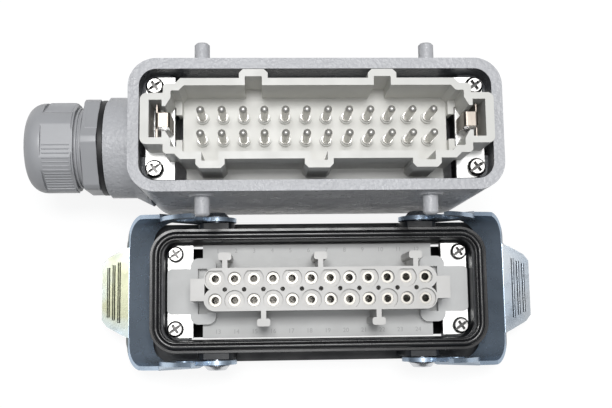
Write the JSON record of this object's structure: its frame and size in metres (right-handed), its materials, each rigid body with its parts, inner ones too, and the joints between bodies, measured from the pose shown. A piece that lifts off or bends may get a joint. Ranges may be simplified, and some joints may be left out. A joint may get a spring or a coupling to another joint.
{
  "type": "heavy duty rectangular connector",
  "caption": "Rectangular industrial connector pair: side-entry cable hood with shrouded pins beside a bulkhead housing with sockets and two side locking levers.",
  "frame": {"origin": "centre of the four panel screw holes, in the panel plane under the flange seal", "axes": "+X along the connector's long side, +Y across it towards the hood, +Z out of the panel"},
  "size_m": [0.1815, 0.108, 0.078],
  "materials": {
    "die_cast_dark": "fine powder coat, dark blue-grey",
    "hood_paint": "light grey powder coat with a fine orange peel",
    "seal_rubber": "glossy black moulded elastomer",
    "panel_rubber": "matt black elastomer",
    "zinc_steel": "blue passivated zinc plating on sheet steel",
    "rivet_steel": "bright turned steel",
    "plate_steel": "bright plated sheet steel",
    "screw_steel": "bright plated screw steel",
    "contact_silver": "turned brass alloy with a silver plating",
    "strap_bronze": "tinned spring bronze",
    "base_plastic": "mid grey glass-filled moulding",
    "block_plastic": "light grey moulding",
    "shroud_plastic": "warm off-white moulding",
    "gland_plastic": "mid grey nylon with a satin gloss",
    "claw_plastic": "light grey nylon",
    "gland_rubber": "black elastomer"
  },
  "bodies": {
    "connector": {"housing_body": "die_cast_dark", "panel_seal": "panel_rubber", "rim_seal": "seal_rubber", "pivot_rivets": "rivet_steel", "socket_base": "base_plastic", "socket_block": "block_plastic", "socket_contacts": "contact_silver", "socket_terminal_screws": "screw_steel", "socket_earth_plate_left": "plate_steel", "socket_earth_plate_right": "plate_steel", "socket_earth_screws": "screw_steel", "socket_fixing_screws": "screw_steel", "hood_shell": "hood_paint", "pin_base": "base_plastic", "pin_shroud": "shroud_plastic", "pin_contacts": "contact_silver", "pin_terminal_screws": "screw_steel", "pin_earth_plate_left": "plate_steel", "pin_earth_plate_right": "plate_steel", "pin_earth_screws": "screw_steel", "earth_spring_left": "strap_bronze", "earth_spring_right": "strap_bronze", "pin_fixing_screws": "screw_steel", "gland_washer": "gland_rubber", "gland_body": "gland_plastic", "gland_claw": "claw_plastic", "gland_seal": "gland_rubber"},
    "lever_left": {"lever_left": "zinc_steel"},
    "lever_right": {"lever_right": "zinc_steel"},
    "gland_nut": {"gland_nut": "gland_plastic"}
  },
  "joints": [
    {"name": "lever_left_swing", "type": "hinge", "parent": "connector", "child": "lever_left", "pos_m": [-0.037, 0, 0.022], "axis": [0, 1, 0], "range_deg": [0, 48]},
    {"name": "lever_right_swing", "type": "hinge", "parent": "connector", "child": "lever_right", "pos_m": [0.037, 0, 0.022], "axis": [0, -1, 0], "range_deg": [0, 48]},
    {"name": "gland_nut_turn", "type": "hinge", "parent": "connector", "child": "gland_nut", "pos_m": [-0.0925, 0.0512, 0.03], "axis": [-1, 0, 0], "continuous": true}
  ]
}
